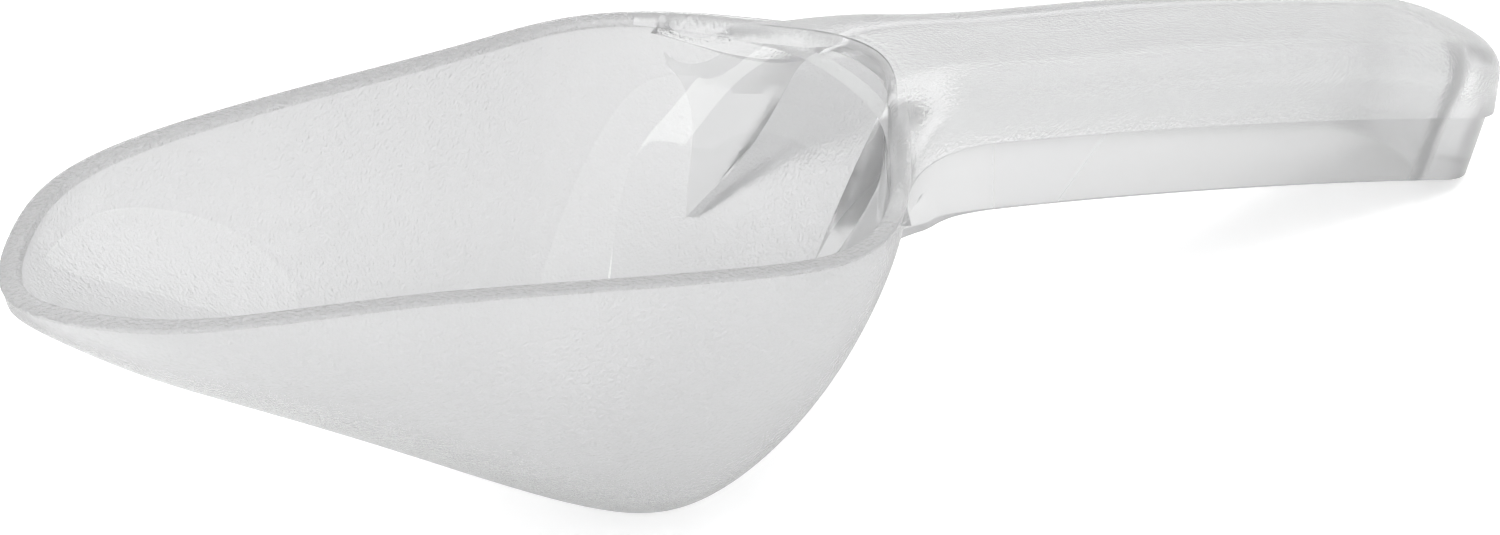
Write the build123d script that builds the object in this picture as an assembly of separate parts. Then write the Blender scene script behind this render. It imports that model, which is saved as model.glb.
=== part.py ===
from build123d import *
import math
import os
import numpy as np

# A clear polycarbonate bar scoop, standing as it lies on a counter: on the bottom of its bowl and on
# the tail of its handle, with +X towards the handle, +Z up and Y = 0 on the plane of symmetry.
# The real scoop is one moulding. Its nodes are the regions of that moulding, and meet face to face.

# ---- Driving dimensions (millimetres) ---------------------------------------------------------
WALL = 2.4                  # bowl wall
BOWL_LENGTH = 125.2         # nose to the back of the rim
SECTION_POWER = 2.3         # superellipse power of the bowl's cross-sections
LIP_HEIGHT = 0.6            # band around the mouth
LIP_PROUD = 0.2             # how far the band stands out from the bowl

# Half width of the mouth, seen from above: (distance from the nose, half width)
MOUTH_PLAN = [(0, 0), (5, 11.3), (12, 18.2), (22, 22.7), (40, 26.6), (62, 31), (82, 35), (94, 36.4),
              (103, 33.6), (110, 27.2), (117, 17), (122.5, 8.6), (BOWL_LENGTH, 0)]
# Underside of the bowl, seen from the side: (distance from the nose, height)
KEEL_SIDE = [(0, 56.9), (4, 52.9), (10, 48.3), (25, 37.2), (45, 21.8), (60, 10.2), (70, 3.3), (80, -0.35),
             (90, 5), (97, 14), (104, 25.8), (110, 33.8), (115, 41.2), (119, 47.2), (122, 50), (BOWL_LENGTH, 51)]
# Top edge, seen from the side: along the mouth, over the crest at the root, and down the handle
TOP_SIDE = [(-4, 58.3), (10, 59.9), (25, 59.6), (45, 57.3), (65, 54), (85, 50.9), (98, 49.7), (106, 50),
            (114, 51.4), (121, 52.8), (127, 52.8), (140, 49.8), (165, 44), (200, 34.8), (225, 26.9), (246, 19)]

HANDLE_END = 240.0          # tail of the handle
GRIP_HALF_WIDTH = 12.35
SKIRT_INSET = 1.0           # step from the grip in to the skirt
HOLLOW_HALF_WIDTH = 9.6
HOLLOW_END = 228.4          # where the hollow under the handle stops
GRIP_TOP_WALL = 2.6
TAIL_CORNER = 11.0          # rounding of the tail, seen from above
HOLLOW_CORNER = 8.5
GRIP_EDGE_RADIUS = 4.5
HOLLOW_EDGE_RADIUS = 3.5
FLARE_START = 137.0         # where the handle's sides begin to spread towards the bowl
FLARE_RADIUS = 32.0
FLARE_END = 108.0
HOLLOW_FLARE_START = 118.0
HOLLOW_FLARE_RADIUS = 26.0
HOLLOW_FLARE_END = 100.0
END_LEAN = math.radians(17)  # lean of the skirt's end
PARTING_AT_ROOT = 41.8      # height of the step line at PARTING_X
PARTING_X = 130.0
PARTING_SLOPE = -0.240
PARTING_SAG = -0.00044
SKIRT_DEPTH_ROOT = 11.3     # skirt below the step line, at PARTING_X and at the tail
SKIRT_DEPTH_TAIL = 11.7
GUSSET_START = 124.0        # where the skirt's lower edge leaves its curve for the bowl's back
# Lower edge of the webs on the bowl's back, seen from the side: (distance from the nose, height)
GUSSET_EDGE = [(98, 19.5), (104, 25.3), (110, 29.6), (116, 31.9)]
GUSSET_HALF_WIDTH = 13.4    # half width over the webs at the foot of the gusset
GUSSET_SPREAD = 0.12        # how fast they widen with height
GUSSET_RISE = 0.69          # slope, seen from the side, of the line over which they spread at 45 degrees

FOOT_DEPTH = 0.35           # the lowest curve of the bowl is cut off flat by this much
DEEPEST = 80.0              # where the bowl is deepest
CUP_TOP = 62.0              # the bowl surfaces run up past the mouth, and are trimmed to it
CUP_LEVELS = 18
OVAL_STEPS = 20
INSET_STEPS = 30
HALVINGS = 50               # steps that find where the underside crosses a level
REACH = 98.0                # the handle's solids start inside the bowl, and are trimmed to it
TRIM_START = 94.0           # the blocks that trim the handle start here
BEYOND = 20.0               # how far trimming blocks run past what they trim
BLOCK_HALF_WIDTH = 60.0


# ---- Curves and sections ----------------------------------------------------------------------
def cubic(xs, ys):
    """Natural cubic curve through the points, as a function."""
    x = np.array(xs, float)
    y = np.array(ys, float)
    h = np.diff(x)
    n = len(x)
    system = np.eye(n)
    right = np.zeros(n)
    for i in range(1, n - 1):
        system[i, i - 1:i + 2] = h[i - 1], 2 * (h[i - 1] + h[i]), h[i]
        right[i] = 6 * ((y[i + 1] - y[i]) / h[i] - (y[i] - y[i - 1]) / h[i - 1])
    bend = np.linalg.solve(system, right)

    def value(at):
        i = int(np.clip(np.searchsorted(x, at) - 1, 0, n - 2))
        a = (x[i + 1] - at) / h[i]
        b = (at - x[i]) / h[i]
        curved = ((a ** 3 - a) * bend[i] + (b ** 3 - b) * bend[i + 1]) * h[i] ** 2 / 6
        return float(a * y[i] + b * y[i + 1] + curved)
    return value


def turn(x, start, end):
    """Angle that runs from 0 to pi along the bowl, so that both ends come out round."""
    share = min(max((x - start) / (end - start), 0), 1)
    return math.acos(1 - 2 * share)


def round_ended(points):
    """Curve through (x, value) points that may be upright at both of its ends."""
    start, end = points[0][0], points[-1][0]
    curve = cubic([turn(x, start, end) for x, _ in points], [v for _, v in points])
    return lambda x: curve(turn(x, start, end))


def inset(points, distance, side):
    """The curve moved sideways by a distance: side 1 is up and -1 is down, for a curve drawn in +X."""
    start, end = points[0][0], points[-1][0]
    curve = round_ended(points)
    angles = np.linspace(0, math.pi, INSET_STEPS + 1)
    xs = start + (end - start) * (1 - np.cos(angles)) / 2
    ys = np.array([curve(x) for x in xs])
    dx = np.gradient(xs)
    dy = np.gradient(ys)
    size = np.hypot(dx, dy)
    moved_x = xs - side * distance * dy / size
    moved_y = ys + side * distance * dx / size
    inner = [i for i in range(1, INSET_STEPS) if moved_x[0] < moved_x[i] < moved_x[-1]]
    return [(moved_x[i], moved_y[i]) for i in [0] + inner + [INSET_STEPS]]


top_side = cubic([x for x, _ in TOP_SIDE], [z for _, z in TOP_SIDE])


def parting(x):
    """Height of the step line between the grip and the skirt."""
    run = x - PARTING_X
    return PARTING_AT_ROOT + PARTING_SLOPE * run + PARTING_SAG * run * run


def skirt_bottom(x):
    """Height of the skirt's lower edge."""
    share = (x - PARTING_X) / (HANDLE_END - PARTING_X)
    return parting(x) - SKIRT_DEPTH_ROOT - (SKIRT_DEPTH_TAIL - SKIRT_DEPTH_ROOT) * share


def cup(plan, keel):
    """Closed solid of a bowl surface, from its foot to above the mouth, as a loft of level ovals."""
    start, end = plan[0][0], plan[-1][0]
    half_width = round_ended(plan)
    underside = round_ended(keel)

    def width_at(x, z):
        depth = top_side(x) - underside(x)
        below = (top_side(x) - z) / depth
        if below <= 0:
            return max(half_width(x), 0)
        return max(half_width(x), 0) * max(1 - below ** SECTION_POWER, 0) ** (1 / SECTION_POWER)

    def crossing(z, above):
        if underside(above) < z:
            return above
        below = DEEPEST
        for _ in range(HALVINGS):
            middle = (above + below) / 2
            above, below = (middle, below) if underside(middle) > z else (above, middle)
        return below

    def oval(z):
        front, back = crossing(z, start), crossing(z, end)
        xs = [front + (back - front) * (1 - math.cos(math.pi * i / OVAL_STEPS)) / 2
              for i in range(1, OVAL_STEPS)]
        near = [(x, -width_at(x, z)) for x in xs]
        return closed_outline([(front, 0)] + near + [(back, 0)], z)

    floor = underside(DEEPEST) + FOOT_DEPTH
    shares = [(1 - math.cos(math.pi * i / (CUP_LEVELS - 1))) / 2 for i in range(CUP_LEVELS)]
    return Solid.make_loft([oval(floor + (CUP_TOP - floor) * share) for share in shares])


def closed_outline(near_side, z):
    """Smooth level outline through its near side's points and their mirror images."""
    far_side = [(x, -y) for x, y in reversed(near_side[1:-1])]
    points = [Vector(x, y, z) for x, y in near_side + far_side]
    return Wire([Edge.make_spline(points, periodic=True)])


def side_block(lower, upper):
    """Block right across the scoop, between two curves seen from the side, each a list of (x, z)."""
    low = [Vector(x, -BLOCK_HALF_WIDTH, z) for x, z in lower]
    high = [Vector(x, -BLOCK_HALF_WIDTH, z) for x, z in upper]
    edges = [Edge.make_spline(low), Edge.make_line(low[-1], high[-1]),
             Edge.make_spline(high[::-1]), Edge.make_line(high[0], low[0])]
    profile = Face(Wire(edges))
    return extrude(profile, amount=2 * BLOCK_HALF_WIDTH, dir=(0, 1, 0))


def sampled(height, start, end, steps=16):
    """Points of a height law between two distances from the nose."""
    return [(x, height(x)) for x in np.linspace(start, end, steps)]


def handle_outline(z, half_width, end, corner, flare_start, flare_radius, flare_end, reach):
    """Level outline of the handle: a round-cornered tail, straight sides, and a spread towards the bowl."""
    tail, flat = end - corner, half_width - corner
    drop = math.sqrt(flare_radius ** 2 - (flare_start - flare_end) ** 2)
    wide = half_width + flare_radius - drop
    half_turn = math.asin((flare_start - flare_end) / flare_radius) / 2
    bend = (flare_start - flare_radius * math.sin(half_turn),
            half_width + flare_radius * (1 - math.cos(half_turn)))
    diagonal = corner * math.sqrt(0.5)

    def side(sign):
        spread = Vector(flare_end, sign * wide, z)
        start = Vector(flare_start, sign * half_width, z)
        middle = Vector(bend[0], sign * bend[1], z)
        stop = Vector(tail, sign * half_width, z)
        turned = Vector(tail + diagonal, sign * (flat + diagonal), z)
        return [Edge.make_three_point_arc(spread, middle, start), Edge.make_line(start, stop),
                Edge.make_three_point_arc(stop, turned, Vector(end, sign * flat, z))]

    across = Edge.make_line(Vector(end, flat, z), Vector(end, -flat, z))
    front = [Vector(flare_end, wide, z), Vector(flare_end, -wide, z)]
    if flare_end > reach:
        front = [front[0], Vector(reach, wide, z), Vector(reach, -wide, z), front[1]]
    closing = [Edge.make_line(a, b) for a, b in zip(front, front[1:])]
    return Wire(side(1) + [across] + side(-1) + closing)


def rounded_top(solid, radius):
    """Round the edge that runs along the top of a handle solid, except at its end inside the bowl."""
    top = max(solid.faces(), key=lambda face: face.normal_at().Z)
    front = solid.bounding_box().min.X
    edges = [e for e in top.edges() if e.center().X > front + 1]
    return solid.fillet(radius, edges)


# ---- Regions of the moulding --------------------------------------------------------------------
def bowl_regions():
    """The bowl under its lip, the lip, and the solid that the handle is trimmed to."""
    outer = cup(MOUTH_PLAN, KEEL_SIDE)
    cavity = cup(inset(MOUTH_PLAN, WALL, -1), inset(KEEL_SIDE, WALL, 1))
    lip_base = sampled(lambda x: top_side(x) - LIP_HEIGHT, -BEYOND / 2, BOWL_LENGTH + BEYOND / 2)
    lip_top = sampled(top_side, -BEYOND / 2, BOWL_LENGTH + BEYOND / 2)
    ground = [(x, -BEYOND) for x, _ in lip_base]
    proud = inset(MOUTH_PLAN, LIP_PROUD, 1)
    lip_column = extrude(Face(closed_outline([(x, -y) for x, y in proud], 0)), amount=CUP_TOP, dir=(0, 0, 1))
    lip_block = lip_column & side_block(lip_base, lip_top)
    above_lip_base = lip_column & side_block(lip_base, [(x, CUP_TOP + BEYOND) for x, _ in lip_base])
    below_lip = outer & side_block(ground, lip_base)
    return below_lip - cavity, lip_block - cavity, below_lip + above_lip_base


def hollow():
    """The space under the handle, open below."""
    def outline(z):
        end = HOLLOW_END + (z - parting(HOLLOW_END)) * math.tan(END_LEAN)
        return handle_outline(z, HOLLOW_HALF_WIDTH, end, HOLLOW_CORNER, HOLLOW_FLARE_START,
                              HOLLOW_FLARE_RADIUS, HOLLOW_FLARE_END, HOLLOW_FLARE_END)
    roof = sampled(lambda x: top_side(x) - GRIP_TOP_WALL, TRIM_START, HANDLE_END + BEYOND / 2)
    ground = [(x, -BEYOND) for x, _ in roof]
    column = Solid.make_loft([outline(-BEYOND), outline(CUP_TOP)], ruled=True)
    return rounded_top(column & side_block(ground, roof), HOLLOW_EDGE_RADIUS)


def grip(space, bowl):
    """The handle above the step line."""
    outline = handle_outline(-BEYOND, GRIP_HALF_WIDTH, HANDLE_END, TAIL_CORNER, FLARE_START,
                             FLARE_RADIUS, FLARE_END, FLARE_END)
    column = extrude(Face(outline), amount=CUP_TOP + BEYOND * 2, dir=(0, 0, 1))
    last = HANDLE_END + BEYOND / 2
    body = column & side_block(sampled(parting, TRIM_START, last), sampled(top_side, TRIM_START, last))
    return rounded_top(body, GRIP_EDGE_RADIUS) - space - bowl


def gusset_limit():
    """Room for the webs on the bowl's back: narrow at their foot, and spreading up the bowl."""
    foot_x, foot_z = GUSSET_EDGE[1]

    def profile(x, low, high, spread):
        wide = GUSSET_HALF_WIDTH + spread * (high - low)
        corners = [(GUSSET_HALF_WIDTH, low), (wide, high), (-wide, high), (-GUSSET_HALF_WIDTH, low)]
        return Wire.make_polygon([Vector(x, y, z) for y, z in corners], close=True)
    foot = Pos(HANDLE_END / 2, 0, foot_z / 2) * Box(HANDLE_END + BEYOND, 2 * GUSSET_HALF_WIDTH, foot_z)
    narrow = extrude(Face(profile(-BEYOND / 2, foot_z, CUP_TOP, GUSSET_SPREAD)),
                     amount=HANDLE_END + BEYOND, dir=(1, 0, 0))
    ends = [(x, foot_z + GUSSET_RISE * (x - foot_x)) for x in (REACH - BEYOND / 2, GUSSET_START)]
    wide = Solid.make_loft([profile(x, z, CUP_TOP, 1) for x, z in ends], ruled=True)
    return foot + narrow + wide


def skirt(space, bowl):
    """The clear lower part of the handle: its two side walls and the thick block at its end."""
    def outline(z):
        end = HANDLE_END - SKIRT_INSET + (z - parting(HANDLE_END)) * math.tan(END_LEAN)
        return handle_outline(z, GRIP_HALF_WIDTH - SKIRT_INSET, end, TAIL_CORNER - SKIRT_INSET,
                              FLARE_START, FLARE_RADIUS + SKIRT_INSET, FLARE_END, REACH)
    column = Solid.make_loft([outline(-BEYOND), outline(CUP_TOP)], ruled=True)
    last = HANDLE_END + BEYOND / 2
    lower = GUSSET_EDGE + sampled(skirt_bottom, GUSSET_START, last)
    body = column & side_block(lower, sampled(parting, TRIM_START, last)) & gusset_limit()
    return body - space - bowl


def main():
    bowl_shell, rim_lip, bowl = bowl_regions()
    space = hollow()
    whole_skirt = skirt(space, bowl)
    block_start = HOLLOW_END - HOLLOW_CORNER
    large = 3 * HANDLE_END
    at_tail = Pos(block_start + large / 2, 0, 0) * Box(large, large, large)
    near = Pos(0, -large / 2, 0) * Box(large, large, large)
    walls = whole_skirt - at_tail
    regions = {
        "bowl_shell": bowl_shell,
        "rim_lip": rim_lip,
        "handle_grip": grip(space, bowl),
        "handle_skirt_near": walls & near,
        "handle_skirt_far": walls - near,
        "handle_end_block": whole_skirt & at_tail,
    }
    to_origin = Pos(-(HANDLE_END - LIP_PROUD) / 2, 0, 0)
    os.makedirs("parts", exist_ok=True)
    for name, shape in regions.items():
        export_step(to_origin * shape.solid(), f"parts/{name}.step")


main()
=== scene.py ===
import math

import bmesh
import bpy
import numpy as np
from mathutils import Matrix, Vector


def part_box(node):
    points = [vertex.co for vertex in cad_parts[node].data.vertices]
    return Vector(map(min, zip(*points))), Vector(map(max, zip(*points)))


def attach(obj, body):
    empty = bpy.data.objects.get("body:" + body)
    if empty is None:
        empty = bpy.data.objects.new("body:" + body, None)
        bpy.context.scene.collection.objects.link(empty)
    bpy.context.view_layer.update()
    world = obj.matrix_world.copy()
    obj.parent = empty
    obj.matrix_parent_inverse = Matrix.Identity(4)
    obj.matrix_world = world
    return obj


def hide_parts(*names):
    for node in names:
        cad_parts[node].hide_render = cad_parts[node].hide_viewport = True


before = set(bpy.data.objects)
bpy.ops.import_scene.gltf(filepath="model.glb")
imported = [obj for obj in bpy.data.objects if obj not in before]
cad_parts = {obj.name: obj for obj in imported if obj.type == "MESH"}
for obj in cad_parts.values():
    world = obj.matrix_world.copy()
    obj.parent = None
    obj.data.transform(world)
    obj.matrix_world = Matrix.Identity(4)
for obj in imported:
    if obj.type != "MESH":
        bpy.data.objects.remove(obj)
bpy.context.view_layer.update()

# The scoop is one clear moulding, so its looks are one seamless mesh that stands for every CAD node.
# It is shaped in millimetres from the nose of the bowl, with the laws that shape the CAD part, and
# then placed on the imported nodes.

# ---- Shape (millimetres) --------------------------------------------------------------------------
MM = 0.001                  # metres
WALL = 2.4                  # bowl wall
BOWL_LENGTH = 125.2         # nose to the back of the rim
DEEPEST = 80.0              # where the bowl is deepest
SECTION_POWER = 2.3         # superellipse power of the bowl's cross-sections
LIP_HEIGHT = 0.6            # band round the mouth
LIP_PROUD = 0.2             # how far the band stands out from the bowl
LIP_EDGE_RADIUS = 0.3
LIP_SHADE_AND_TEXTURE_END = 104.0     # behind it the lip has the grip's finish, so the lip's painted shade (its darker tint) and its coarser grain stop here
MOUTH_EDGE_RADIUS = 0.6     # inner edge of the mouth, along its sides
MOUTH_BACK_RADIUS = 2.2     # the same edge at the handle
MOUTH_BLEND_START = 100.0   # from here to MOUTH_BLEND_END the one radius turns into the other
MOUTH_BLEND_END = 122.0

# Half width of the mouth, seen from above: (distance from the nose, half width)
MOUTH_PLAN = [(0, 0), (5, 11.3), (12, 18.2), (22, 22.7), (40, 26.6), (62, 31), (82, 35), (94, 36.4),
              (103, 33.6), (110, 27.2), (117, 17), (122.5, 8.6), (BOWL_LENGTH, 0)]
# Underside of the bowl, seen from the side: (distance from the nose, height)
KEEL_SIDE = [(0, 56.9), (4, 52.9), (10, 48.3), (25, 37.2), (45, 21.8), (60, 10.2), (70, 3.3),
             (80, -0.35), (90, 5), (97, 14), (104, 25.8), (110, 33.8), (115, 41.2), (119, 47.2),
             (122, 50), (BOWL_LENGTH, 51)]
# Top edge, seen from the side: along the mouth, over the crest at the root, and down the handle
TOP_SIDE = [(-4, 58.3), (10, 59.9), (25, 59.6), (45, 57.3), (65, 54), (85, 50.9), (98, 49.7),
            (106, 50), (114, 51.4), (121, 52.8), (127, 52.8), (140, 49.8), (165, 44), (200, 34.8),
            (225, 26.9), (246, 19)]

HANDLE_END = 240.0          # tail of the handle
GRIP_HALF_WIDTH = 12.35
GRIP_EDGE_RADIUS = 4.5
GRIP_TOP_WALL = 2.6         # roof of the hollow under the handle
SKIRT_INSET = 1.0           # step from the grip in to the skirt
HOLLOW_HALF_WIDTH = 9.6
HOLLOW_END = 228.4          # where the hollow stops
HOLLOW_EDGE_RADIUS = 3.5
HOLLOW_BOTTOM = -15.0       # the hollow's solid is cut from this far under the counter
TAIL_CORNER = 11.0          # rounding of the tail, seen from above
HOLLOW_CORNER = 8.5
FLARE_START = 137.0         # where the handle's sides begin to spread towards the bowl
FLARE_RADIUS = 32.0
FLARE_END = 108.0
HOLLOW_FLARE_START = 118.0
HOLLOW_FLARE_RADIUS = 26.0
HOLLOW_FLARE_END = 100.0
REACH = 98.0                # the handle's solids start inside the bowl
END_LEAN = math.radians(17)  # lean of the skirt's end
LEAN_RUN = 3.0              # about how far the lean carries the skirt's lower edge in from the tail
CREST_END = 127.0           # in front of it the handle's top is sunk, over SINK_RUN, by SINK
SINK_RUN = 3.0
SINK = 0.06
PARTING_AT_ROOT = 41.8      # height of the step line at PARTING_X
PARTING_X = 130.0
PARTING_SLOPE = -0.240
PARTING_SAG = -0.00044
SKIRT_DEPTH_ROOT = 11.3     # skirt below the step line, at PARTING_X and at the tail
SKIRT_DEPTH_TAIL = 11.7
SKIRT_CURVE_END = 250.0     # the curve of the skirt's lower edge runs on past the tail
SKIRT_CURVE_POINTS = 16
GUSSET_START = 124.0        # where the skirt's lower edge leaves its curve for the bowl's back
# Lower edge of the webs on the bowl's back, seen from the side: (distance from the nose, height)
GUSSET_EDGE = [(98, 19.5), (104, 25.3), (110, 29.6), (116, 31.9)]
GUSSET_HALF_WIDTH = 13.4    # half width over the webs at their foot
GUSSET_SPREAD = 0.12        # how fast they widen with height
GUSSET_RISE = 0.69          # slope, seen from the side, of the line over which they spread at 45 degrees

# ---- Mesh density and small distances (millimetres) -----------------------------------------------
AROUND = 320                # points round the bowl
BOWL_ROWS = 72              # rings up each side of the bowl's wall
MIDDLE_ROWS = 60
MOUTH_EDGE_POINTS = 6
# Step from the bowl out to the lip: (share of LIP_PROUD, share of LIP_HEIGHT below the mouth)
LIP_STEP = [(0.2, 1), (0.7, 0.92), (1, 0.7)]
UNDER_LIP = 0.1             # gap between the last ring under the lip and the lip
UNDER_MOUTH_EDGE = 0.4      # gap between the mouth's rounded inner edge and the next ring
OVER_FLOOR = 0.05           # the lowest ring of a cup is this far above its lowest point
OVER_MOUTH = 12.0           # the solid in the middle of the wall rises this far past the mouth
SPREAD_POINTS = 8           # points along each stretch of the handle's outline
FLARE_POINTS = 40
STRAIGHT_POINTS = 90
CORNER_POINTS = 24
ACROSS_POINTS = 7
UNDERSIDE_SHARES = (1.0, 0.75, 0.5, 0.25, 0.1, 0.03)
SKIRT_SHARES = np.linspace(0.025, 1, 14)
SIDE_SHARES = np.linspace(0.04, 1, 10)
EDGE_ROWS = 9
ROOF_ROWS = 10
LEAST_SIDE = 0.05           # a side is taken to be at least this tall
MOST_SINE = 0.999           # a rounding starts short of its own top
INSET_STEPS = 30
HALVINGS = 45               # steps that find where the underside crosses a level
THINNEST = 0.01
MERGE_DISTANCE = 0.0005
SHARP_ANGLE = math.radians(32)


# ---- Curves ---------------------------------------------------------------------------------------
def cubic(points):
    """Natural cubic curve through (x, value) points, as a function of an array."""
    x = np.array([p[0] for p in points], float)
    y = np.array([p[1] for p in points], float)
    h = np.diff(x)
    n = len(x)
    system = np.eye(n)
    right = np.zeros(n)
    for i in range(1, n - 1):
        system[i, i - 1:i + 2] = h[i - 1], 2 * (h[i - 1] + h[i]), h[i]
        right[i] = 6 * ((y[i + 1] - y[i]) / h[i] - (y[i] - y[i - 1]) / h[i - 1])
    bend = np.linalg.solve(system, right)

    def value(at):
        at = np.asarray(at, float)
        i = np.clip(np.searchsorted(x, at) - 1, 0, n - 2)
        a = (x[i + 1] - at) / h[i]
        b = (at - x[i]) / h[i]
        curved = ((a ** 3 - a) * bend[i] + (b ** 3 - b) * bend[i + 1]) * h[i] ** 2 / 6
        return a * y[i] + b * y[i + 1] + curved
    return value


def round_ended(points):
    """Curve through (x, value) points that may be upright at both of its ends."""
    start, end = points[0][0], points[-1][0]

    def turn(x):
        return np.arccos(1 - 2 * np.clip((np.asarray(x, float) - start) / (end - start), 0, 1))
    curve = cubic([(float(turn(x)), v) for x, v in points])
    return lambda x: curve(turn(x))


def inset(points, distance, side):
    """The curve moved sideways by a distance: side 1 is up and -1 is down, for a curve drawn in +X."""
    start, end = points[0][0], points[-1][0]
    xs = start + (end - start) * (1 - np.cos(np.linspace(0, math.pi, INSET_STEPS + 1))) / 2
    ys = round_ended(points)(xs)
    dx, dy = np.gradient(xs), np.gradient(ys)
    size = np.hypot(dx, dy)
    moved_x = xs - side * distance * dy / size
    moved_y = ys + side * distance * dx / size
    inner = [i for i in range(1, INSET_STEPS) if moved_x[0] < moved_x[i] < moved_x[-1]]
    return [(moved_x[i], moved_y[i]) for i in [0] + inner + [INSET_STEPS]]


def parting(x):
    """Height of the step line between grip and skirt."""
    run = np.asarray(x, float) - PARTING_X
    return PARTING_AT_ROOT + PARTING_SLOPE * run + PARTING_SAG * run * run


def skirt_bottom(x):
    """Height of the skirt's lower edge along the handle."""
    share = (np.asarray(x, float) - PARTING_X) / (HANDLE_END - PARTING_X)
    return parting(x) - SKIRT_DEPTH_ROOT - (SKIRT_DEPTH_TAIL - SKIRT_DEPTH_ROOT) * share


top_side = cubic(TOP_SIDE)
skirt_curve = cubic(GUSSET_EDGE + [(x, float(skirt_bottom(x))) for x in
                                   np.linspace(GUSSET_START, SKIRT_CURVE_END, SKIRT_CURVE_POINTS)])


# ---- Materials ------------------------------------------------------------------------------------
POLYCARBONATE_IOR = 1.585
GREEN_CAST, BLUE_CAST = 1.003, 1.006
GRAIN_DETAIL = 2.0


def plastic(name, tint, transmission, roughness, grain=0, grain_height=0):
    """Clear polycarbonate. grain and grain_height are the moulded texture's size in metres, 0 if smooth."""
    material = bpy.data.materials.new(name)
    material.use_nodes = True
    nodes, links = material.node_tree.nodes, material.node_tree.links
    shader = nodes["Principled BSDF"]
    shader.inputs["Base Color"].default_value = (tint, tint * GREEN_CAST, tint * BLUE_CAST, 1)
    shader.inputs["Transmission Weight"].default_value = transmission
    shader.inputs["IOR"].default_value = POLYCARBONATE_IOR
    shader.inputs["Roughness"].default_value = roughness
    if grain:
        place = nodes.new("ShaderNodeTexCoord")
        pebbles = nodes.new("ShaderNodeTexNoise")
        pebbles.inputs["Scale"].default_value = 1 / grain
        pebbles.inputs["Detail"].default_value = GRAIN_DETAIL
        bump = nodes.new("ShaderNodeBump")
        bump.inputs["Distance"].default_value = grain_height
        links.new(place.outputs["Object"], pebbles.inputs["Vector"])
        links.new(pebbles.outputs["Fac"], bump.inputs["Height"])
        links.new(bump.outputs["Normal"], shader.inputs["Normal"])
    return material


# A face's material_index is the place of its finish in this list.
# All six are one clear plastic. Their tints differ to set how bright each part looks, which is painted
# light and shade: the frosted outside and the grip are lightened against the clear inside.
MATERIALS = [
    plastic("frosted_polycarbonate", 0.915, 0.65, 0.15, grain=0.0005, grain_height=0.00016),
    plastic("clear_polycarbonate", 0.88, 0.90, 0.05),
    plastic("grip_polycarbonate", 0.935, 0.76, 0.20, grain=0.0005, grain_height=0.00012),
    # The lip's darker tint is painted shade: the rim is the same clear plastic, darkened so that it reads
    # as a dark edge.
    plastic("lip_painted_shade_polycarbonate", 0.76, 0.60, 0.18, grain=0.0006, grain_height=0.00040),
    # The skirt's darker tint is painted shade on the same clear plastic.
    plastic("skirt_painted_shade_polycarbonate", 0.76, 0.70, 0.20),
    # The hollow's lighter tint is painted light, which lifts the shade seen through the bowl's back wall
    # under the handle's roof.
    plastic("hollow_painted_light_polycarbonate", 0.94, 0.84, 0.14),
]
FROSTED, CLEAR, GRIP, LIP, SKIRT, HOLLOW = range(len(MATERIALS))


# ---- Mesh building --------------------------------------------------------------------------------
def ring_mesh(name, rows, finishes, capped=True):
    """Closed mesh from rows of points, each a closed ring; rows that end on a line need no caps.

    finishes is a list of (number of rows, finish), from the first row on.
    """
    count = len(rows[0])
    finish_of = [finish for number, finish in finishes for _ in range(number)]
    mesh = bpy.data.meshes.new(name)
    bm = bmesh.new()
    rings = [[bm.verts.new(Vector(p)) for p in row] for row in rows]
    for low, high, finish in zip(rings, rings[1:], finish_of):
        for i in range(count):
            j = (i + 1) % count
            bm.faces.new((low[i], low[j], high[j], high[i])).material_index = finish
    for ring, finish in ((rings[0], finish_of[0]), (rings[-1], finish_of[-1])) if capped else ():
        middle = bm.verts.new(sum((v.co for v in ring), Vector()) / count)
        for i in range(count):
            bm.faces.new((ring[i], ring[(i + 1) % count], middle)).material_index = finish
    bmesh.ops.remove_doubles(bm, verts=bm.verts, dist=MERGE_DISTANCE)
    bmesh.ops.dissolve_degenerate(bm, dist=MERGE_DISTANCE, edges=bm.edges)
    bmesh.ops.recalc_face_normals(bm, faces=bm.faces)
    bm.to_mesh(mesh)
    bm.free()
    for material in MATERIALS:
        mesh.materials.append(material)
    obj = bpy.data.objects.new(name, mesh)
    bpy.context.scene.collection.objects.link(obj)
    return obj


def combine(target, other, operation):
    """Boolean of two closed meshes; the second one is used up."""
    modifier = target.modifiers.new("combine", "BOOLEAN")
    modifier.operation = operation
    modifier.solver = "MANIFOLD"
    modifier.object = other
    bpy.context.view_layer.objects.active = target
    bpy.ops.object.modifier_apply(modifier=modifier.name)
    bpy.data.objects.remove(other)


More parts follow.
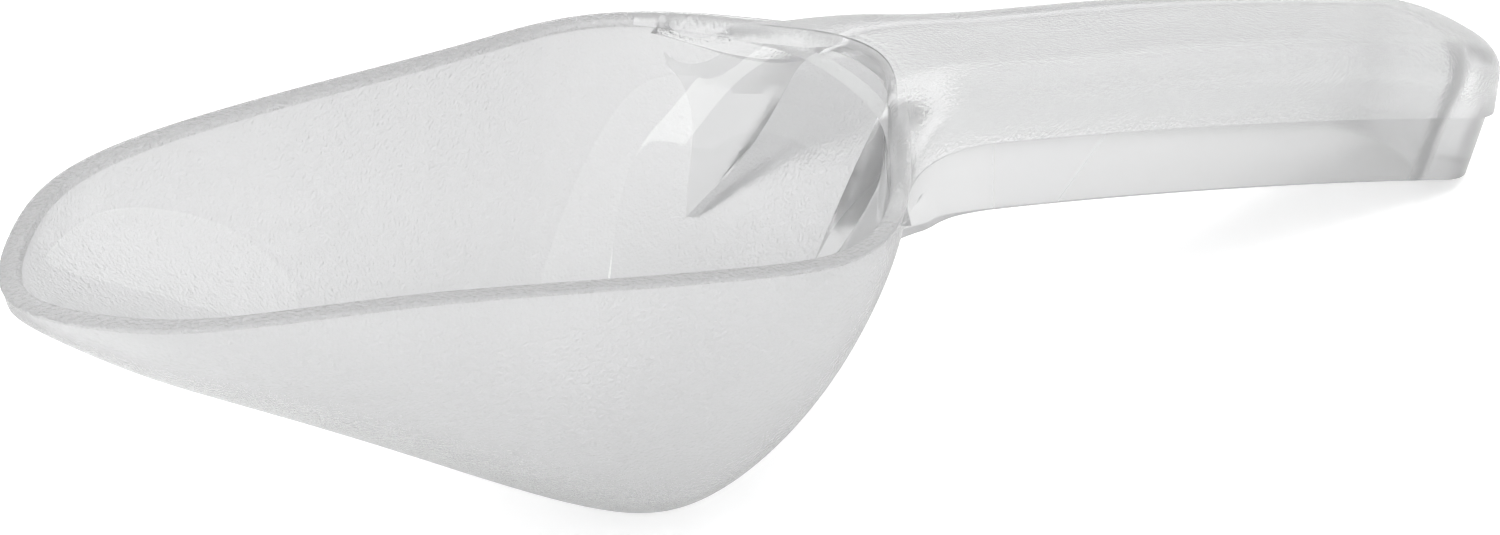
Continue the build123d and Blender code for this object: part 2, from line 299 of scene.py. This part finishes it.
# ---- Bowl -----------------------------------------------------------------------------------------
class Cup:
    """Surface of a bowl: superellipse sections between a keel and the top edge, inside a plan."""

    def __init__(self, plan, keel):
        self.start, self.end = plan[0][0], plan[-1][0]
        self.half_width = round_ended(plan)
        self.keel = round_ended(keel)
        self.floor = float(self.keel(DEEPEST))

    def crossing(self, end, height):
        """Where the keel crosses height(x) between an end and the deepest point."""
        above, below = end, DEEPEST
        if self.keel(end) > height(end):
            for _ in range(HALVINGS):
                middle = (above + below) / 2
                high = self.keel(middle) > height(middle)
                above, below = (middle, below) if high else (above, middle)
        return above

    def ring(self, height):
        """Closed ring on the surface, at the heights that height(x) gives."""
        front, back = self.crossing(self.start, height), self.crossing(self.end, height)
        angle = np.arange(AROUND) * 2 * math.pi / AROUND
        x = front + (back - front) * (1 - np.cos(angle)) / 2
        z = height(x)
        depth = np.maximum(top_side(x) - self.keel(x), THINNEST)
        below = np.clip((top_side(x) - z) / depth, 0, 1)
        wide = np.maximum(self.half_width(x), 0) * (1 - below ** SECTION_POWER) ** (1 / SECTION_POWER)
        y = -np.sign(np.sin(angle)) * wide
        y[0] = y[AROUND // 2] = 0
        return np.stack([x, y, z], -1)

    def rings(self, count, lowest, top):
        """Rings from a level just over the floor up to the heights that top(x) gives."""
        shares = (1 - np.cos(np.linspace(0, math.pi, count))) / 2
        return [self.ring(lambda x, s=s: lowest + s * (top(x) - lowest)) for s in shares]


def mouth_radius(x):
    """Radius of the mouth's inner edge."""
    share = np.clip((x - MOUTH_BLEND_START) / (MOUTH_BLEND_END - MOUTH_BLEND_START), 0, 1)
    share = share ** 2 * (3 - 2 * share)
    return MOUTH_EDGE_RADIUS + (MOUTH_BACK_RADIUS - MOUTH_EDGE_RADIUS) * share


def mouth_rows(outline):
    """Rows from the foot of the lip, over its rounded edges, to just inside the mouth."""
    along = np.roll(outline, -1, 0) - np.roll(outline, 1, 0)
    normal = np.column_stack([along[:, 1], -along[:, 0]])
    normal /= np.linalg.norm(normal, axis=1)[:, None]
    if normal[0, 0] > 0:
        normal = -normal

    def row(out, up):
        """The mouth's outline moved outwards and upwards; each is a number or one for each point."""
        ring = outline + normal * np.broadcast_to(out, AROUND)[:, None]
        return np.column_stack([ring, top_side(ring[:, 0]) + up])

    quarter = np.linspace(0, math.pi / 2, MOUTH_EDGE_POINTS)
    inner = mouth_radius(outline[:, 0])
    rows = [row(LIP_PROUD * out, -LIP_HEIGHT * down) for out, down in LIP_STEP]
    rows += [row(LIP_PROUD - LIP_EDGE_RADIUS * (1 - math.cos(a)), LIP_EDGE_RADIUS * (math.sin(a) - 1))
             for a in quarter]
    rows += [row(-WALL + inner * (1 - math.sin(a)), inner * (math.cos(a) - 1)) for a in quarter]
    return rows


def bowl():
    """The bowl with its raised lip and rounded mouth, as one closed shell."""
    outside = Cup(MOUTH_PLAN, KEEL_SIDE)
    inside = Cup(inset(MOUTH_PLAN, WALL, -1), inset(KEEL_SIDE, WALL, 1))
    outer = outside.rings(BOWL_ROWS, 0.0, lambda x: top_side(x) - LIP_HEIGHT - UNDER_LIP)
    mouth = mouth_rows(outside.ring(top_side)[:, :2])
    inner = inside.rings(BOWL_ROWS, inside.floor + OVER_FLOOR,
                         lambda x: top_side(x) - UNDER_MOUTH_EDGE - mouth_radius(x))
    finishes = [(len(outer), FROSTED), (len(mouth), LIP), (len(inner), CLEAR)]
    shell = ring_mesh("scoop", outer + mouth + inner[::-1], finishes)
    # Far enough back, the lip takes the grip's finish: its darker tint, which is painted shade, and its
    # coarser grain stop there.
    for face in shell.data.polygons:
        if face.material_index == LIP and face.center.x > LIP_SHADE_AND_TEXTURE_END:
            face.material_index = GRIP
    return shell


def middle_of_wall():
    """Solid inside the middle of the bowl's wall, reaching above the mouth."""
    cup = Cup(inset(MOUTH_PLAN, WALL / 2, -1), inset(KEEL_SIDE, WALL / 2, 1))
    rows = cup.rings(MIDDLE_ROWS, cup.floor + OVER_FLOOR, top_side)
    rows.append(rows[-1] + np.array([0, 0, OVER_MOUTH]))
    return ring_mesh("middle_of_wall", rows, [(len(rows), CLEAR)])


# ---- Handle ---------------------------------------------------------------------------------------
def handle_top(x):
    """Top of the handle, sunk a little under the bowl's top so that the two share no face."""
    return top_side(x) - SINK * np.clip((CREST_END - x) / SINK_RUN, 0, 1)


def skirt_edge(x):
    """Lower edge of the skirt and its webs, which stays above the counter."""
    return np.maximum(skirt_curve(x), 0.0)


def web_limit(x, z):
    """Half width that the webs may reach on the back of the bowl."""
    foot_x, foot_z = GUSSET_EDGE[1]
    narrow = GUSSET_SPREAD * np.maximum(z - foot_z, 0)
    spread = z - foot_z - GUSSET_RISE * (x - foot_x)
    return GUSSET_HALF_WIDTH + np.maximum(narrow, spread)


def handle_line(half_width, end, corner, flare_start, flare_radius, flare_end, reach):
    """Points along one side of the handle and half round its tail: (x, y), and the middle of each."""
    tail, flat = end - corner, half_width - corner
    bend = np.linspace(math.asin((flare_start - flare_end) / flare_radius), 0, FLARE_POINTS)
    flare = [(flare_start - flare_radius * math.sin(a),
              half_width + flare_radius * (1 - math.cos(a))) for a in bend]
    spread = [(x, flare[0][1]) for x in np.linspace(reach, flare_end, SPREAD_POINTS)[:-1]]
    straight = [(x, half_width) for x in np.linspace(flare_start, tail, STRAIGHT_POINTS)[1:]]
    turned = np.linspace(0, math.pi / 2, CORNER_POINTS)[1:]
    quarter = [(tail + corner * math.sin(a), flat + corner * math.cos(a)) for a in turned]
    across = [(end, y) for y in np.linspace(flat, 0, ACROSS_POINTS)[1:]]
    side = np.array(spread + flare + straight + quarter + across)
    middle = np.column_stack([np.minimum(side[:, 0], end - half_width), np.zeros(len(side))])
    return side, middle


def leaning(half_width, end, at_height, *rest):
    """Outline of the handle whose end leans, as a function of height; at_height is where end is true."""
    return lambda z: handle_line(half_width, end + (z - at_height) * math.tan(END_LEAN), *rest)


def mirrored(side):
    """Ring made of one side of the handle and its mirror image."""
    near = side * np.array([1, -1, 1])
    return np.concatenate([near, side[::-1][1:]])


def handle_row(line, share, height, limit=None):
    """Row of points, a share of the way from the edge of the outline to its middle line."""
    side, middle = line
    plan = side + (middle - side) * np.broadcast_to(share, len(side))[:, None]
    x, y = plan.T
    z = height(x)
    if limit is not None:
        y = np.minimum(y, limit(x, z))
    return mirrored(np.column_stack([x, y, z]))


def rounded_rows(line_at, radius, height, base):
    """Rows up the side from a base, over a rounded top edge, and in to the middle line.

    Where the side is lower than the radius, the rounding starts part of the way round.
    """
    side = line_at(0.0)[0][:, 0]
    tallness = np.maximum(height(side) - base(side), LEAST_SIDE)
    start = np.arcsin(np.clip(1 - tallness / radius, 0, MOST_SINE))
    tail_top, tail_base = float(height(side[-1])), float(base(side[-1]))

    def row(angle, lift):
        level = tail_base + (tail_top - radius - tail_base) * lift + radius * math.sin(angle[-1])
        edge, middle = line_at(level)
        reach = np.linalg.norm(edge - middle, axis=1)
        plan = edge + (middle - edge) * (radius * (1 - np.cos(angle)) / reach)[:, None]
        top = height(plan[:, 0]) - radius * (1 - np.sin(angle))
        low = base(plan[:, 0])
        z = low + (np.maximum(top, low) - low) * lift
        return mirrored(np.column_stack([plan, z]))
    rows = [row(start, lift) for lift in SIDE_SHARES]
    rows += [row(start + (math.pi / 2 - start) * share, 1) for share in np.linspace(0, 1, EDGE_ROWS)[1:]]
    line = line_at(tail_top)
    first = radius / np.linalg.norm(line[0] - line[1], axis=1)
    rows += [handle_row(line, first + (1 - first) * share, height)
             for share in np.linspace(0, 1, ROOF_ROWS)[1:]]
    return rows


def handle():
    """The handle as one solid, without its hollow."""
    grip = handle_line(GRIP_HALF_WIDTH, HANDLE_END, TAIL_CORNER,
                       FLARE_START, FLARE_RADIUS, FLARE_END, REACH)
    skirt = leaning(GRIP_HALF_WIDTH - SKIRT_INSET, HANDLE_END - SKIRT_INSET, float(parting(HANDLE_END)),
                    TAIL_CORNER - SKIRT_INSET, FLARE_START, FLARE_RADIUS + SKIRT_INSET, FLARE_END, REACH)
    tail_low, tail_high = float(skirt_edge(HANDLE_END - LEAN_RUN)), float(parting(HANDLE_END))
    rows = [handle_row(skirt(0.0), share, skirt_edge, web_limit) for share in UNDERSIDE_SHARES]
    for s in SKIRT_SHARES:
        rows.append(handle_row(skirt(tail_low * (1 - s) + tail_high * s), 0,
                               lambda x, s=s: skirt_edge(x) + (parting(x) - skirt_edge(x)) * s,
                               web_limit))
    grip_rows = rounded_rows(lambda z: grip, GRIP_EDGE_RADIUS, handle_top, parting)
    # The skirt rows take the skirt's finish, whose darker tint is painted shade.
    finishes = [(len(rows), SKIRT), (len(grip_rows), GRIP)]
    return ring_mesh("handle", rows + grip_rows, finishes, capped=False)


def hollow():
    """The space under the handle."""
    line_at = leaning(HOLLOW_HALF_WIDTH, HOLLOW_END, float(parting(HOLLOW_END)), HOLLOW_CORNER,
                      HOLLOW_FLARE_START, HOLLOW_FLARE_RADIUS, HOLLOW_FLARE_END, REACH)

    def roof(x):
        return top_side(x) - GRIP_TOP_WALL

    def below(x):
        return 0 * x + HOLLOW_BOTTOM
    rows = [handle_row(line_at(HOLLOW_BOTTOM), share, below) for share in (1, 0.5, 0)]
    rows += rounded_rows(line_at, HOLLOW_EDGE_RADIUS, roof, below)
    return ring_mesh("hollow", rows, [(len(rows), HOLLOW)], capped=False)


def nose():
    """Where the nose of the bowl stands, at the level of the counter, in metres."""
    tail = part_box("handle_grip")[1].x
    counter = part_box("bowl_shell")[0].z
    return Vector((tail - HANDLE_END * MM, 0, counter))


def scoop():
    """The whole moulding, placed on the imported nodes."""
    whole = bowl()
    arm = handle()
    combine(arm, hollow(), "DIFFERENCE")
    combine(arm, middle_of_wall(), "DIFFERENCE")
    combine(whole, arm, "UNION")
    whole.data.transform(Matrix.Translation(nose()) @ Matrix.Diagonal((MM, MM, MM, 1)))
    for polygon in whole.data.polygons:
        polygon.use_smooth = True
    whole.data.set_sharp_from_angle(angle=SHARP_ANGLE)
    return whole


# ---- Stage ----------------------------------------------------------------------------------------
FLOOR_SIZE = 6
FLOOR_GAP = 0.2 * MM        # two faces in one plane would render as a dark patch under the foot
FLOOR_WHITE = 0.93
FLOOR_ROUGHNESS = 0.9
FLOOR_GLOW = 0.36
SURROUND = 0.82             # brightness of the white studio round the stage


def floor_material():
    """Matt white that glows for camera rays only.

    The floor is then white when looked at directly, and pale grey when seen through the plastic.
    """
    material = bpy.data.materials.new("pale_floor")
    material.use_nodes = True
    nodes, links = material.node_tree.nodes, material.node_tree.links
    shader = nodes["Principled BSDF"]
    shader.inputs["Base Color"].default_value = (FLOOR_WHITE, FLOOR_WHITE, FLOOR_WHITE, 1)
    shader.inputs["Roughness"].default_value = FLOOR_ROUGHNESS
    shader.inputs["Emission Color"].default_value = (1, 1, 1, 1)
    path = nodes.new("ShaderNodeLightPath")
    glow = nodes.new("ShaderNodeMath")
    glow.operation = "MULTIPLY"
    glow.inputs[1].default_value = FLOOR_GLOW
    links.new(path.outputs["Is Camera Ray"], glow.inputs[0])
    links.new(glow.outputs[0], shader.inputs["Emission Strength"])
    return material


def softbox(name, azimuth, elevation, distance, size, radiance):
    """Rectangular studio light that faces the middle of the bowl. Azimuth 0 is along +X."""
    low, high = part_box("bowl_shell")
    turn, lift = math.radians(azimuth), math.radians(elevation)
    towards = Vector((math.cos(turn) * math.cos(lift), math.sin(turn) * math.cos(lift), math.sin(lift)))
    light = bpy.data.lights.new(name, "AREA")
    light.shape = "RECTANGLE"
    light.size, light.size_y = size
    light.energy = radiance * math.pi * size[0] * size[1]
    lamp = bpy.data.objects.new(name, light)
    lamp.location = (low + high) / 2 + towards * distance
    lamp.rotation_euler = towards.to_track_quat("Z", "Y").to_euler()
    bpy.context.scene.collection.objects.link(lamp)


def stage():
    """The floor, the white studio round it and its two lights."""
    bpy.ops.mesh.primitive_plane_add(size=FLOOR_SIZE, location=(0, 0, nose().z - FLOOR_GAP))
    floor = bpy.context.object
    floor.name = "floor"
    floor.data.materials.append(floor_material())

    world = bpy.data.worlds.new("studio")
    world.use_nodes = True
    background = world.node_tree.nodes["Background"]
    background.inputs["Color"].default_value = (1, 1, 1, 1)
    background.inputs["Strength"].default_value = SURROUND
    bpy.context.scene.world = world

    softbox("overhead", azimuth=90, elevation=86, distance=1.1, size=(1.8, 1.6), radiance=1.05)
    softbox("left", azimuth=171, elevation=18, distance=1.0, size=(0.30, 0.60), radiance=1.9)


# ---- Camera ---------------------------------------------------------------------------------------
# Solved from the outline of the object: where the eye is, in metres from the nose of the bowl, and
# the directions that are right, up and back for it.
LENS = 75.79                # millimetres
SENSOR_WIDTH = 36
EYE = Vector((-0.09328, -0.30349, 0.26529))
EYE_RIGHT = Vector((0.83843, -0.54500, -0.00234))
EYE_UP = Vector((0.30313, 0.46276, 0.83305))
EYE_BACK = Vector((-0.45293, -0.69916, 0.55320))


def camera():
    """The camera, from where the photograph was taken."""
    lens = bpy.data.cameras.new("camera")
    lens.lens = LENS
    lens.sensor_width = SENSOR_WIDTH
    eye = bpy.data.objects.new("camera", lens)
    turn = Matrix((EYE_RIGHT, EYE_UP, EYE_BACK)).transposed().to_4x4()
    eye.matrix_world = Matrix.Translation(nose() + EYE) @ turn
    bpy.context.scene.collection.objects.link(eye)
    bpy.context.scene.camera = eye


piece = scoop()
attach(piece, "root")
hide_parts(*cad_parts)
stage()
camera()
bpy.context.scene.view_settings.view_transform = "Standard"
